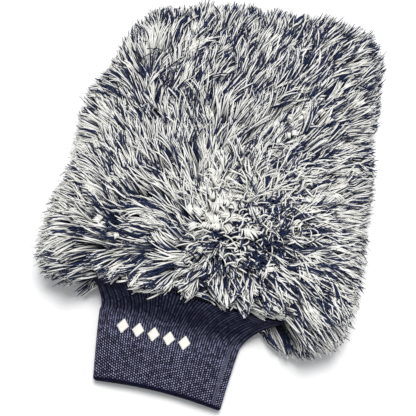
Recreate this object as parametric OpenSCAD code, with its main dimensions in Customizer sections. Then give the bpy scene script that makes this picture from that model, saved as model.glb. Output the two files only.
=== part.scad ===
// Wash mitt: a long-pile fabric pocket with a ribbed knit cuff, lying on its palm side.
// The fingertips point along +Y, the cuff along -Y and the back of the hand faces up.
// The origin is the centre of the whole mitt's box, on the surface that it lies on.

/* [Pocket] */
// Width of the ground fabric, seam to seam
shell_w = 187; // [170:1:195]
// Length of the ground fabric, mouth to fingertips
shell_len = 220; // [200:1:235]
// Half the thickness of the pocket, from the side seam to the outside of one panel
shell_half_t = 12; // [11:0.5:16]
// How much wider the mouth end is than the middle, as a share of the width
shell_taper = 0.035; // [0:0.005:0.05]
// Squareness of the corners at the cuff end
near_square = 5.4; // [4:0.1:6]
// Squareness of the corners at the finger end
far_square = 3.8; // [3:0.1:5]

/* [Pile] */
// How far the pile stands out past the side seam
pile_side = 18.5; // [14:0.5:22]
// Thickness of the pile on the back
pile_back = 22; // [18:0.5:26]
// Thickness of the pile on the palm, pressed down by the mitt's weight
pile_palm = 13; // [12:0.5:16]
// How far the pile stands out over the throat, where it hides the mouth seam
pile_lip = 8; // [5:0.5:9]

/* [Fabric] */
// Thickness of the ground fabric that the pile is tufted into
backing_t = 1.2; // [0.8:0.1:1.6]
// Thickness of the lining
lining_t = 0.8; // [0.5:0.1:1.2]
// Room between the ground fabric and the lining at the side seams, for the seam allowances
allowance = 3.2; // [2.8:0.1:4]
// Thickness of one layer of the knit
knit_t = 1.3; // [1:0.1:1.6]

/* [Mouth and throat] */
// Width of the mouth that the knit is sewn to
mouth_w = 154; // [136:1:158]
// Half the height of the mouth
mouth_half_h = 10; // [8:0.5:10.5]
// Distance from the wrist line to the start of the double-layer cuff
wrist_gap = 8; // [7.5:0.5:12]
// Distance from the mouth of the pocket to the wrist line
throat_len = 13.5; // [13:0.5:22]

/* [Cuff] */
// Width of the cuff at its hem
hem_w = 88; // [80:1:96]
// Width of the cuff at the wrist
neck_w = 102; // [92:1:106]
// Length of the double-layer cuff
cuff_len = 43.5; // [43:0.5:70]
// Half the thickness of the cuff, both sides together
cuff_half_t = 7.2; // [6.8:0.1:8.5]
// How far to the side of the middle the soft cuff lies
cuff_shift = -5; // [-8:1:8]
// Width of the elastic in the hem
elastic_w = 6; // [4:0.5:8]

/* [Embroidery] */
// Number of lozenges in the embroidered row
mark_count = 5; // [3:1:5]
// Width of one lozenge
mark_w = 8; // [7:0.5:9]
// Height of one lozenge
mark_h = 9.5; // [8:0.5:11]
// How high the satin stitches stand
mark_t = 1; // [0.6:0.1:1.4]

/* [Hidden] */

// Colours
pile_colour = [0.60, 0.62, 0.66];
shaded_pile_colour = [0.45, 0.48, 0.54];
ground_colour = [0.20, 0.22, 0.32];
lining_colour = [0.30, 0.32, 0.38];
knit_colour = [0.27, 0.28, 0.37];
dark_knit_colour = [0.16, 0.17, 0.27];
thread_colour = [0.14, 0.15, 0.24];
elastic_colour = [0.85, 0.85, 0.83];
satin_colour = [0.90, 0.89, 0.84];

// Heights
mid_z = pile_palm + shell_half_t;
cuff_z = cuff_half_t + 0.2;

// Places along the mitt, with the whole length centred on the origin
hem_to_mouth = cuff_len + wrist_gap + throat_len;
mitt_len = hem_to_mouth + shell_len + pile_side;
hem_y = -mitt_len / 2;
neck_y = hem_y + cuff_len;
wrist_y = neck_y + wrist_gap;
mouth_y = wrist_y + throat_len;
shell_y = mouth_y + shell_len / 2;

// Gaps between neighbouring pieces
fit_gap = 0.3;
split_gap = 0.15;
lining_in = backing_t + allowance;
lining_drop = backing_t + fit_gap;

// The mouth as the pile's inner face and its rim see it, higher and wider than the knit
pile_mouth_h = mouth_half_h + 3;
pile_mouth_w = mouth_w + 10;
rim_mouth_h = mouth_half_h + 5;
rim_mouth_w = mouth_w + 18;

// The pile is notched over the throat, so that the cuff can swing
notch_half_w = neck_w / 2 + 12;
notch_ramp = 14;

// Layers of the cuff wall, as depths below its outer face
inner_face = knit_t + 0.6;
wall_t = inner_face + knit_t;
hem_step = 1;
hem_wall_t = wall_t + hem_step;
fold_t = 1.3;
elastic_t = 0.7;

// Seam threads
edge_thread_r = 0.7;
lining_thread_r = 0.5;
mouth_thread_r = 1;

// Sampling of the soft surfaces: directions round the pocket, points round the knit
dirs = 60;
oval_steps = 40;
// Steps from the middle of a panel, 0, to its rim, 1
dome_steps = [0, 0.2, 0.45, 0.65, 0.8, 0.9, 0.97, 1];
pocket_flat = 0.45;
back_flat = 0.2;
palm_flat = 0.7;
knit_square = 3.5;

// Row of lozenges
mark_pitch = mark_w + 3;
mark_x = -9;
mark_y = hem_y + 36;

function mix(a, b, t) = a + (b - a) * t;
function ease(t) = let (c = min(1, max(0, t))) c * c * (3 - 2 * c);

// ---- Outline of the pocket ----

// Point of the outline, grown by g, in direction a
function outline(a, g) =
    let (
        p = sin(a) > 0 ? far_square : near_square,
        w = shell_w / 2 + g,
        l = shell_len / 2 + g,
        r = pow(pow(abs(cos(a)) / w, p) + pow(abs(sin(a)) / l, p), -1 / p),
        y = r * sin(a)
    )
    [r * cos(a) * (1 - shell_taper * y / l), y];

// The pile's outer outline, notched over the throat
function pile_outline(a) =
    let (
        p = outline(a, pile_side),
        depth = ease((notch_half_w + notch_ramp - abs(p.x)) / notch_ramp),
        notch_y = -shell_len / 2 - mix(pile_side, pile_lip, depth)
    )
    [p.x, max(p.y, notch_y)];

// Y of the mouth's edge at x, grown by g, measured from the pocket's middle
function mouth_edge(x, g) =
    let (w = (shell_w / 2 + g) * (1 + shell_taper), l = shell_len / 2 + g)
    -l * pow(1 - pow(abs(x) / w, near_square), 1 / near_square);

// Height of a mouth of height h and width w over the outline point p
function lift(p, h, w) =
    p.y < 0 && abs(p.x) < w / 2 ? h * sqrt(1 - pow(2 * p.x / w, 2)) : 0;

// ---- Domed panels ----

// One face of a panel: [grow, height, mouth height, mouth width, flat share, notched]
function face_point(face, a, t) =
    let (
        p = face[5] ? pile_outline(a) : outline(a, face[0]),
        q = mix(face[4], 1, t),
        m = lift(p, face[2], face[3]) / face[1]
    )
    [q * p.x, q * p.y, face[1] * sqrt(1 - pow(t, 2.5) * (1 - m * m)) + split_gap];

function face_ring(face, t) = [for (i = [0:dirs - 1]) face_point(face, i * 360 / dirs, t)];

// Side faces between neighbouring rings of n points
function sides(n, count) = [
    for (i = [0:count - 2], j = [0:n - 1])
        let (k = (j + 1) % n)
        each [
            [i * n + j, (i + 1) * n + k, i * n + k],
            [i * n + j, (i + 1) * n + j, (i + 1) * n + k]
        ]
];

// Solid through a list of rings, with its first and last rings closed to a middle point
module capped_loft(rings) {
    n = len(rings[0]);
    count = len(rings);
    points = concat([for (r = rings) each r], [ring_middle(rings[0]), ring_middle(rings[count - 1])]);
    first_cap = [for (j = [0:n - 1]) [n * count, (j + 1) % n, j]];
    last_cap = [for (j = [0:n - 1]) [n * count + 1, n * (count - 1) + j, n * (count - 1) + (j + 1) % n]];
    outward_sides = [for (f = sides(n, count)) [f[0], f[2], f[1]]];
    polyhedron(points, concat(outward_sides, first_cap, last_cap));
}

// Solid through a closed chain of rings, like the wall of a tube
module looped_loft(rings) {
    n = len(rings[0]);
    closed = concat(rings, [rings[0]]);
    count = len(rings);
    faces = [for (f = sides(n, len(closed))) [for (v = f) v % (n * count)]];
    polyhedron([for (r = rings) each r], faces);
}

function ring_middle(r) = [for (c = [0:2]) sum([for (p = r) p[c]]) / len(r)];
function sum(v, i = 0) = i < len(v) ? v[i] + sum(v, i + 1) : 0;

// Panel between an outer and an inner face, rims meeting at the side seam
module panel(outer, inner) {
    steps = len(dome_steps);
    rings = [
        for (i = [0:steps - 1]) face_ring(outer, dome_steps[i]),
        for (i = [steps - 1:-1:0]) face_ring(inner, dome_steps[i])
    ];
    translate([0, shell_y, mid_z])
        capped_loft(rings);
}

// Same panel on the palm side
module palm_side() {
    translate([0, 0, 2 * mid_z])
        mirror([0, 0, 1])
            children();
}

function fabric_face(in, drop) = [
    -in, shell_half_t - drop, mouth_half_h - drop, mouth_w - 2 * drop, pocket_flat, false
];
function pile_inner_face() = [
    fit_gap, shell_half_t + fit_gap, pile_mouth_h, pile_mouth_w, pocket_flat, false
];
function pile_outer_face(h, flat) = [
    pile_side, shell_half_t + h - split_gap, rim_mouth_h, rim_mouth_w, flat, true
];

module back_pile() {
    color(pile_colour)
        panel(pile_outer_face(pile_back, back_flat), pile_inner_face());
}

module palm_pile() {
    color(shaded_pile_colour)
        palm_side()
            panel(pile_outer_face(pile_palm, palm_flat), pile_inner_face());
}

module backing_panel() {
    panel(fabric_face(0, 0), fabric_face(backing_t, backing_t));
}

module lining_panel() {
    panel(fabric_face(lining_in, lining_drop), fabric_face(lining_in + lining_t, lining_drop + lining_t));
}

module back_backing() {
    color(ground_colour)
        backing_panel();
}

module palm_backing() {
    color(ground_colour)
        palm_side()
            backing_panel();
}

module back_lining() {
    color(lining_colour)
        lining_panel();
}

module palm_lining() {
    color(lining_colour)
        palm_side()
            lining_panel();
}

// ---- Seams ----

// Thread of radius r round the pocket, g inside the outline, from one mouth corner to the other
module perimeter_thread(g, r) {
    pitch = 360 / dirs;
    corner_a = pitch * floor(atan2(-mouth_edge(mouth_w / 2, 0), mouth_w / 2) / pitch);
    steps = (180 + 2 * corner_a) / pitch;
    rings = [
        for (i = [0:steps])
            let (
                a = -corner_a + pitch * i,
                p = outline(a, -g),
                out = p / norm(p)
            )
            [for (k = [0:60:359]) [p.x + r * cos(k) * out.x, p.y + r * cos(k) * out.y, r * sin(k)]]
    ];
    translate([0, shell_y, mid_z])
        capped_loft(rings);
}

module edge_seam() {
    color(thread_colour)
        perimeter_thread(backing_t + fit_gap + edge_thread_r, edge_thread_r);
}

module lining_seam() {
    color(thread_colour)
        perimeter_thread(lining_in - fit_gap - lining_thread_r, lining_thread_r);
}

// Seam that joins the knit to both panels, round the mouth
module mouth_seam() {
    grow = fit_gap + mouth_thread_r;
    rings = [
        for (i = [0:oval_steps - 1])
            let (
                a = i * 360 / oval_steps,
                x = mouth_w / 2 * cos(a),
                n = [cos(a) / mouth_w * 2, sin(a) / mouth_half_h],
                u = n / norm(n)
            )
            [
                for (k = [0:45:359]) [
                    x + mouth_thread_r * cos(k) * u.x,
                    mouth_edge(x, grow) + mouth_thread_r * sin(k),
                    mouth_half_h * sin(a) + mouth_thread_r * cos(k) * u.y
                ]
            ]
    ];
    color(thread_colour)
        translate([0, shell_y, mid_z])
            looped_loft(rings);
}

// ---- Knit ----

// Point at angle a of a flattened oval with half sizes w and h and squareness n
function oval(a, w, h, n) = [
    w * sign(cos(a)) * pow(abs(cos(a)), 2 / n),
    h * sign(sin(a)) * pow(abs(sin(a)), 2 / n)
];

// Height of the cuff's outer face over its middle, at x, where the half width is w
function cuff_top(x, w) = cuff_half_t * pow(1 - pow(abs(x) / w, knit_square), 1 / knit_square);

function cuff_half_w(y) = mix(hem_w, neck_w, (y - hem_y) / cuff_len) / 2;

// Ring of the cuff wall at y, d below its outer face
function cuff_ring(y, d) = [
    for (i = [0:oval_steps - 1])
        let (p = oval(i * 360 / oval_steps, cuff_half_w(y) - d, cuff_half_t - d, knit_square))
        [p.x + cuff_shift, y, cuff_z + p.y]
];

// Ring of the throat wall: t runs from the neck, 0, to the mouth, 1
function throat_ring(t, d) =
    let (
        e = ease(t),
        w = mix(neck_w / 2, mouth_w / 2 + knit_t / 2, pow(t, 2.2)),
        h = mix(cuff_half_t, mouth_half_h + knit_t / 2, t),
        n = mix(knit_square, 2, t),
        grow = fit_gap * 2 + mouth_thread_r * 2
    )
    [
        for (i = [0:oval_steps - 1])
            let (
                a = i * 360 / oval_steps,
                p = oval(a, w - d, h - d, n),
                edge_y = shell_y + mouth_edge(mouth_w / 2 * cos(a), grow)
            )
            [
                p.x + mix(cuff_shift, 0, t),
                mix(neck_y + fit_gap, edge_y, t),
                mix(cuff_z, mid_z, e) + p.y
            ]
    ];

// Knit between the mouth and the cuff: one layer that bends at the wrist line
module cuff_throat() {
    steps = 7;
    rings = [
        for (i = [steps:-1:0]) throat_ring(i / steps, 0),
        for (i = [0:steps]) throat_ring(i / steps, knit_t)
    ];
    color(dark_knit_colour)
        looped_loft(rings);
}

// Wall of the cuff with the section profile, a list of [y above the hem, depth]
module cuff_wall(profile) {
    looped_loft([for (p = profile) cuff_ring(hem_y + p[0], p[1])]);
}

// Outside of the folded knit, turned in at the hem
module cuff_outer_layer() {
    color(knit_colour)
        cuff_wall([
            [cuff_len, 0], [cuff_len * 2 / 3, 0], [cuff_len / 3, 0],
            [1.6, 0], [0.5, 0.5], [0, 1.5], [0, 2.7], [0.4, hem_wall_t],
            [fold_t, hem_wall_t], [fold_t, knit_t],
            [cuff_len / 3, knit_t], [cuff_len * 2 / 3, knit_t], [cuff_len, knit_t]
        ]);
}

// Inside of the folded knit, which steps in to clear the elastic
module cuff_inner_layer() {
    start = fold_t + fit_gap;
    step_y = start + elastic_w + 1;
    color(dark_knit_colour)
        cuff_wall([
            [cuff_len, inner_face], [cuff_len / 2, inner_face], [step_y + 2, inner_face],
            [step_y, inner_face + hem_step], [start, inner_face + hem_step],
            [start, hem_wall_t], [step_y, hem_wall_t],
            [step_y + 2, wall_t], [cuff_len / 2, wall_t], [cuff_len, wall_t]
        ]);
}

module cuff_elastic() {
    start = fold_t + fit_gap;
    top = knit_t + fit_gap;
    color(elastic_colour)
        cuff_wall([
            [start + elastic_w, top], [start, top],
            [start, top + elastic_t], [start + elastic_w, top + elastic_t]
        ]);
}

// Linked seam that closes the knit into a tube, along the cuff's right-hand edge
module cuff_side_seam() {
    half_w = 0.8;
    height = 0.6;
    in = 6;
    steps = 4;
    rings = [
        for (i = [0:steps])
            let (
                y = hem_y + mix(2.5, cuff_len, i / steps),
                w = cuff_half_w(y),
                x = w - in,
                z = cuff_z + fit_gap / 2,
                left = cuff_top(x - half_w, w),
                right = cuff_top(x + half_w, w)
            )
            [
                [x - half_w, y, z + left], [x + half_w, y, z + right],
                [x + half_w, y, z + right + height], [x - half_w, y, z + left + height]
            ]
    ];
    color(dark_knit_colour)
        translate([cuff_shift, 0, 0])
            capped_loft(rings);
}

// ---- Embroidery ----

// Row of satin-stitched lozenges, each resting on the knit under it
module embroidered_mark() {
    w = cuff_half_w(mark_y);
    color(satin_colour)
        for (i = [0:mark_count - 1]) {
            x = mark_x + (i - (mark_count - 1) / 2) * mark_pitch;
            nearest = max(0, abs(x) - mark_w / 2);
            translate([x + cuff_shift, mark_y, cuff_z + cuff_top(nearest, w) + 0.1])
                linear_extrude(mark_t)
                    polygon([[-mark_w / 2, 0], [0, -mark_h / 2], [mark_w / 2, 0], [0, mark_h / 2]]);
        }
}

// Stabiliser behind the stitches, between the two layers of knit
module embroidery_backing() {
    half_l = (mark_pitch * (mark_count - 1) + mark_w) / 2 + 1.5;
    half_w = mark_h / 2 + 1.5;
    w = cuff_half_w(mark_y - half_w);
    under = knit_t + 0.1;
    sheet_t = 0.2;
    xs = [for (k = [0:12]) mark_x - half_l + k * half_l / 6];
    outline_xz = concat(
        [for (x = xs) [x, cuff_top(x, w) - under]],
        [for (k = [12:-1:0]) [xs[k], cuff_top(xs[k], w) - under - sheet_t]]
    );
    color(elastic_colour)
        translate([cuff_shift, mark_y + half_w, cuff_z])
            rotate([90, 0, 0])
                linear_extrude(2 * half_w)
                    polygon(outline_xz);
}

back_pile();
palm_pile();
back_backing();
palm_backing();
back_lining();
palm_lining();
edge_seam();
lining_seam();
mouth_seam();
cuff_throat();
cuff_outer_layer();
cuff_inner_layer();
cuff_elastic();
cuff_side_seam();
embroidered_mark();
embroidery_backing();
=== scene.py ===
"""Visual model of the wash mitt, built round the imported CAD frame.

Lengths are worked out in millimetres and turned into metres when a mesh is made.
"Pocket coordinates" are millimetres from the middle of the pocket, on its middle plane.
"""
import math
import bmesh
import bpy
import numpy as np
from mathutils import Matrix, Vector


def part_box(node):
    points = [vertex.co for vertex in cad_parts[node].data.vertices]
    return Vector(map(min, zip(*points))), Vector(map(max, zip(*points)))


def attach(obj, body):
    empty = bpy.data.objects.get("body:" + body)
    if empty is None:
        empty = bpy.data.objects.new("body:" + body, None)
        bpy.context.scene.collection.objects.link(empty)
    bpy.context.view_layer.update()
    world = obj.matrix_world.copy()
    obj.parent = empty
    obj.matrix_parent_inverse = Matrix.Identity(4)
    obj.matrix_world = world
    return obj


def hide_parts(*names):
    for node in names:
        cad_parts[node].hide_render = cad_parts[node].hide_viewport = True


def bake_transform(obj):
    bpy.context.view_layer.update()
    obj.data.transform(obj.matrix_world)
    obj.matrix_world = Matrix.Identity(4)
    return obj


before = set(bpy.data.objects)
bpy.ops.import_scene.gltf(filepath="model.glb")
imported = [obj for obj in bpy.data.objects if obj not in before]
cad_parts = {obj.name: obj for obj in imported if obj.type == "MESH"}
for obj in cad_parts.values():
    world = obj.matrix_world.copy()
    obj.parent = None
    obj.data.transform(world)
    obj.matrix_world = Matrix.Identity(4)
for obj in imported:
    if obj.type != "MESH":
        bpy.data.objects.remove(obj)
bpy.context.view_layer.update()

MM = 0.001
rng = np.random.default_rng(20261118)


def corners(node):
    """Lowest and highest corner of a CAD node, in millimetres."""
    low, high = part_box(node)
    return np.array(low) / MM, np.array(high) / MM


# ---- Sizes shared with the CAD, in millimetres ----

SHELL_W = 187.0
SHELL_LEN = 220.0
HALF_T = 12.0
TAPER = 0.035
NEAR_SQUARE = 5.4
FAR_SQUARE = 3.8
POCKET_FLAT = 0.45
BACKING_T = 1.2
LINING_T = 0.8
LINING_IN = 4.4
LINING_DROP = 1.5
MOUTH_W = 154.0
MOUTH_H = 10.0
HEM_W = 88.0
NECK_W = 102.0
CUFF_HALF_T = 7.2
CUFF_SHIFT = -5.0
CUFF_Z = CUFF_HALF_T + 0.2
KNIT_T = 1.3
KNIT_SQUARE = 3.5
INNER_FACE = 1.9
HEM_STEP = 1.0
ELASTIC_DEPTH = 1.6
ELASTIC_T = 0.7

HEM_Y = corners("cuff_outer_layer")[0][1]
NECK_Y = corners("cuff_outer_layer")[1][1]
CUFF_LEN = NECK_Y - HEM_Y
POCKET_Y = (corners("back_backing")[0][1] + corners("back_backing")[1][1]) / 2
MID_Z = (corners("back_backing")[0][2] + corners("palm_backing")[1][2]) / 2
PILE_TOP = corners("back_pile")[1][2]
MOUTH_Y = POCKET_Y - SHELL_LEN / 2
PILE_SIDE = corners("back_pile")[1][1] - POCKET_Y - SHELL_LEN / 2
PALM_LIP = 3.0
THROAT_LEN = 24.0
# How far the throat's end stands outside the mouth
THROAT_OUT = 2.6
# The pile rooted below this y, in pocket coordinates, lies over the mouth
OVER_MOUTH_Y = -SHELL_LEN / 2 + 8

# The knit turns with the cuff from here
BEND_START = (0, (MOUTH_Y - 1.3) * MM, 0)


# ---- Small helpers ----

def mix(a, b, t):
    return a + (b - a) * t


def ease(t):
    t = np.clip(t, 0, 1)
    return t * t * (3 - 2 * t)


def unit(v):
    return v / np.maximum(np.linalg.norm(v, axis=-1, keepdims=True), 1e-9)


def turned(v, angle):
    """2-D vectors turned by an angle each."""
    c, s = np.cos(angle), np.sin(angle)
    return np.stack([c * v[..., 0] - s * v[..., 1], s * v[..., 0] + c * v[..., 1]], -1)


def smooth_noise(seed, wavelength, count=24):
    """Smooth random function of x and y, about -1 to 1, with bumps about a wavelength apart."""
    own = np.random.default_rng(seed)
    heading = own.uniform(0, 2 * math.pi, count)
    k = 2 * math.pi / wavelength * own.uniform(0.6, 1.4, count)
    phase = own.uniform(0, 2 * math.pi, count)

    def value(x, y):
        x, y = np.asarray(x, float)[..., None], np.asarray(y, float)[..., None]
        waves = np.sin(k * (x * np.cos(heading) + y * np.sin(heading)) + phase)
        return waves.sum(-1) / math.sqrt(count / 2) / 1.6

    return value


def run_along(points):
    """Distance along a line of points to each of them."""
    return np.concatenate([[0], np.cumsum(np.linalg.norm(np.diff(points, axis=0), axis=1))])


# ---- Meshes ----

def new_object(name, points, loops, sizes, uv=None, uv_name="OFBake"):
    """Mesh object from points in millimetres, and faces as one run of corners and their sizes."""
    mesh = bpy.data.meshes.new(name)
    points = np.ascontiguousarray(points, np.float32) * MM
    starts = np.concatenate([[0], np.cumsum(sizes)[:-1]]).astype(np.int32)
    mesh.vertices.add(len(points))
    mesh.vertices.foreach_set("co", points.ravel())
    mesh.loops.add(len(loops))
    mesh.loops.foreach_set("vertex_index", loops.astype(np.int32))
    mesh.polygons.add(len(sizes))
    mesh.polygons.foreach_set("loop_start", starts)
    mesh.update(calc_edges=True)
    mesh.polygons.foreach_set("use_smooth", np.ones(len(sizes), bool))
    if uv is not None:
        layer = mesh.uv_layers.new(name=uv_name)
        layer.uv.foreach_set("vector", np.ascontiguousarray(uv, np.float32).ravel())
    mesh.validate()
    obj = bpy.data.objects.new(name, mesh)
    bpy.context.scene.collection.objects.link(obj)
    return obj


def grid_object(name, points, uv, wrap_rows, wrap_columns):
    """Mesh object from a grid of points; a wrapped direction joins its last line to its first.
    uv has one more line than points in each wrapped direction."""
    rows, columns = points.shape[:2]
    i = np.arange(rows if wrap_rows else rows - 1)[:, None]
    j = np.arange(columns if wrap_columns else columns - 1)[None, :]
    i2, j2 = i + 1, j + 1
    corners_ij = [(i, j), (i, j2), (i2, j2), (i2, j)]
    loops = np.stack([(a % rows) * columns + (b % columns) + 0 * (i + j) for a, b in corners_ij], -1)
    uv_loops = np.stack([uv[a + 0 * b, b + 0 * a] for a, b in corners_ij], -2)
    sizes = np.full(loops.shape[0] * loops.shape[1], 4)
    uv_flat = uv_loops.reshape(-1, 2)
    return new_object(name, points.reshape(-1, 3), loops.reshape(-1), sizes, uv_flat, "Stitches")


def welded(obj):
    """Join points that lie in the same place."""
    edit = bmesh.new()
    edit.from_mesh(obj.data)
    bmesh.ops.remove_doubles(edit, verts=edit.verts, dist=0.01 * MM)
    edit.to_mesh(obj.data)
    edit.free()
    return obj


def tubes(name, paths, radii, sideways, sides=4, values=None):
    """Closed tapered tubes along paths (tubes, rings, 3). sideways is a vector that no path runs along.
    values are named numbers for each tube, or for each ring of each tube, kept on the points."""
    count, rings = paths.shape[:2]
    along = unit(np.gradient(paths, axis=1))
    u = unit(sideways - (sideways * along).sum(-1, keepdims=True) * along)
    v = np.cross(along, u)
    angle = np.arange(sides) * 2 * math.pi / sides + math.pi / 4
    round_it = u[:, :, None] * np.cos(angle)[:, None] + v[:, :, None] * np.sin(angle)[:, None]
    points = paths[:, :, None] + radii[:, :, None, None] * round_it

    tube = (np.arange(count) * rings * sides)[:, None, None]
    ring = tube + (np.arange(rings - 1) * sides)[None, :, None]
    after_ring = ring + sides
    side = np.arange(sides)[None, None, :]
    after = (side + 1) % sides
    walls = np.stack([ring + side, ring + after, after_ring + after, after_ring + side], -1).reshape(-1)
    ends = tube[:, :, 0]
    start_cap = (ends + np.arange(sides)[::-1][None]).reshape(-1)
    end_cap = (ends + (rings - 1) * sides + np.arange(sides)[None]).reshape(-1)
    loops = np.concatenate([walls, start_cap, end_cap])
    sizes = np.concatenate([np.full(count * (rings - 1) * sides, 4), np.full(count * 2, sides)])

    # Each tube is unrolled into a cell of its own in the texture square
    cells_x = max(1, int(math.sqrt(count * 2.5)))
    cells_y = math.ceil(count / cells_x)
    cell = np.stack([np.arange(count) % cells_x, np.arange(count) // cells_x], -1).astype(float)
    wall_u = np.stack([side, side + 1, side + 1, side], -1) / sides + 0.0 * ring[..., None]
    rise = np.arange(rings - 1)[None, :, None]
    wall_v = np.stack([rise, rise, rise + 1, rise + 1], -1) / (rings - 1) + 0.0 * (tube + side)[..., None]
    wall_uv = np.stack([wall_u, wall_v], -1) * 0.8 + 0.1 + cell[:, None, None, None, :]
    cap_uv = np.stack([0.5 + 0.03 * np.cos(angle), 0.5 + 0.03 * np.sin(angle)], -1)
    cap_uv = cap_uv[None] * 0.2 + 0.4 + 0.0 * cell[:, None, :]
    start_uv = (cap_uv * [1, 0] + [0, 0.12] + cell[:, None, :]).reshape(-1, 2)
    end_uv = (cap_uv * [1, 0] + [0, 0.88] + cell[:, None, :]).reshape(-1, 2)
    uv = np.concatenate([wall_uv.reshape(-1, 2), start_uv, end_uv]) / [cells_x, cells_y]

    obj = new_object(name, points.reshape(-1, 3), loops, sizes, uv)
    for key, value in (values or {}).items():
        value = np.broadcast_to(value.reshape(count, -1, 1), (count, rings, sides))
        attribute = obj.data.attributes.new(key, "FLOAT", "POINT")
        attribute.data.foreach_set("value", np.ascontiguousarray(value, np.float32).ravel())
    return obj


# ---- Materials ----

class Material:
    """A Principled material with short ways to add nodes."""

    def __init__(self, name, roughness, sheen=0.0, specular=0.5):
        self.made = bpy.data.materials.new(name)
        self.made.use_nodes = True
        self.tree = self.made.node_tree
        self.surface = self.tree.nodes["Principled BSDF"]
        self.surface.inputs["Roughness"].default_value = roughness
        self.surface.inputs["Sheen Weight"].default_value = sheen
        self.surface.inputs["Sheen Roughness"].default_value = 0.5
        self.surface.inputs["Specular IOR Level"].default_value = specular

    def node(self, kind, inputs=(), **settings):
        made = self.tree.nodes.new(kind)
        for key, value in settings.items():
            setattr(made, key, value)
        for key, value in dict(inputs).items():
            if isinstance(value, bpy.types.NodeSocket):
                self.tree.links.new(value, made.inputs[key])
            else:
                made.inputs[key].default_value = value
        return made

    def math(self, operation, a, b=0.0, c=0.0):
        return self.node("ShaderNodeMath", {0: a, 1: b, 2: c}, operation=operation).outputs[0]

    def mapped(self, value, low, high, out_low=0.0, out_high=1.0):
        inputs = {0: value, 1: low, 2: high, 3: out_low, 4: out_high}
        return self.node("ShaderNodeMapRange", inputs, clamp=True).outputs[0]

    def mixed(self, factor, a, b, blend="MIX"):
        made = self.node("ShaderNodeMix", {0: factor, 6: a, 7: b}, data_type="RGBA", blend_type=blend)
        return made.outputs[2]

    def attribute(self, name):
        return self.node("ShaderNodeAttribute", attribute_name=name).outputs["Fac"]

    def noise(self, scale, detail=2.0):
        where = self.node("ShaderNodeTexCoord").outputs["Object"]
        inputs = {"Vector": where, "Scale": scale, "Detail": detail}
        return self.node("ShaderNodeTexNoise", inputs).outputs["Fac"]

    def stitch_place(self):
        """Wale count and millimetres along the wale, from the Stitches map."""
        uv = self.node("ShaderNodeUVMap", uv_map="Stitches").outputs[0]
        parts = self.node("ShaderNodeSeparateXYZ", {0: uv}).outputs
        return parts[0], parts[1]

    def paint(self, colour):
        self.tree.links.new(colour, self.surface.inputs["Base Color"])

    def bump(self, height, strength, distance):
        inputs = {"Height": height, "Strength": strength, "Distance": distance}
        made = self.node("ShaderNodeBump", inputs)
        self.tree.links.new(made.outputs[0], self.surface.inputs["Normal"])


def rgb(r, g, b):
    return (r, g, b, 1.0)


# Height of one row of stitches in the knit, in millimetres
COURSE = 1.65


def pile_material():
    m = Material("pile_microfibre", 0.8, sheen=0.03, specular=0.08)
    tone = m.attribute("tone")
    patches = m.math("MULTIPLY", m.noise(70.0, 3.0), 0.5)
    white_light = m.math("ADD", patches, m.mapped(tone, 0.68, 1.0, 0.0, 0.5))
    navy_light = m.math("ADD", patches, m.mapped(tone, 0.0, 0.32, 0.0, 0.5))
    white = m.mixed(white_light, rgb(0.70, 0.69, 0.63), rgb(0.97, 0.97, 0.96))
    navy = m.mixed(navy_light, rgb(0.003, 0.004, 0.015), rgb(0.034, 0.048, 0.122))
    colour = m.mixed(m.mapped(tone, 0.45, 0.55), navy, white)
    # Painted shade: each strand is darkened towards its root, standing for the shadow deep in the pile
    deep = m.mapped(m.attribute("reach"), 0.1, 0.72, 0.03, 1.0)
    shade = m.node("ShaderNodeCombineColor", {0: deep, 1: deep, 2: deep}).outputs[0]
    m.paint(m.mixed(1.0, colour, shade, "MULTIPLY"))
    m.bump(m.noise(1800.0), 0.35, 0.0002)
    return m.made


def ground_material():
    m = Material("pile_ground_fabric", 0.9)
    m.paint(m.mixed(m.noise(900.0), rgb(0.012, 0.014, 0.03), rgb(0.04, 0.045, 0.08)))
    m.bump(m.noise(1500.0), 0.5, 0.0003)
    return m.made


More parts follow.
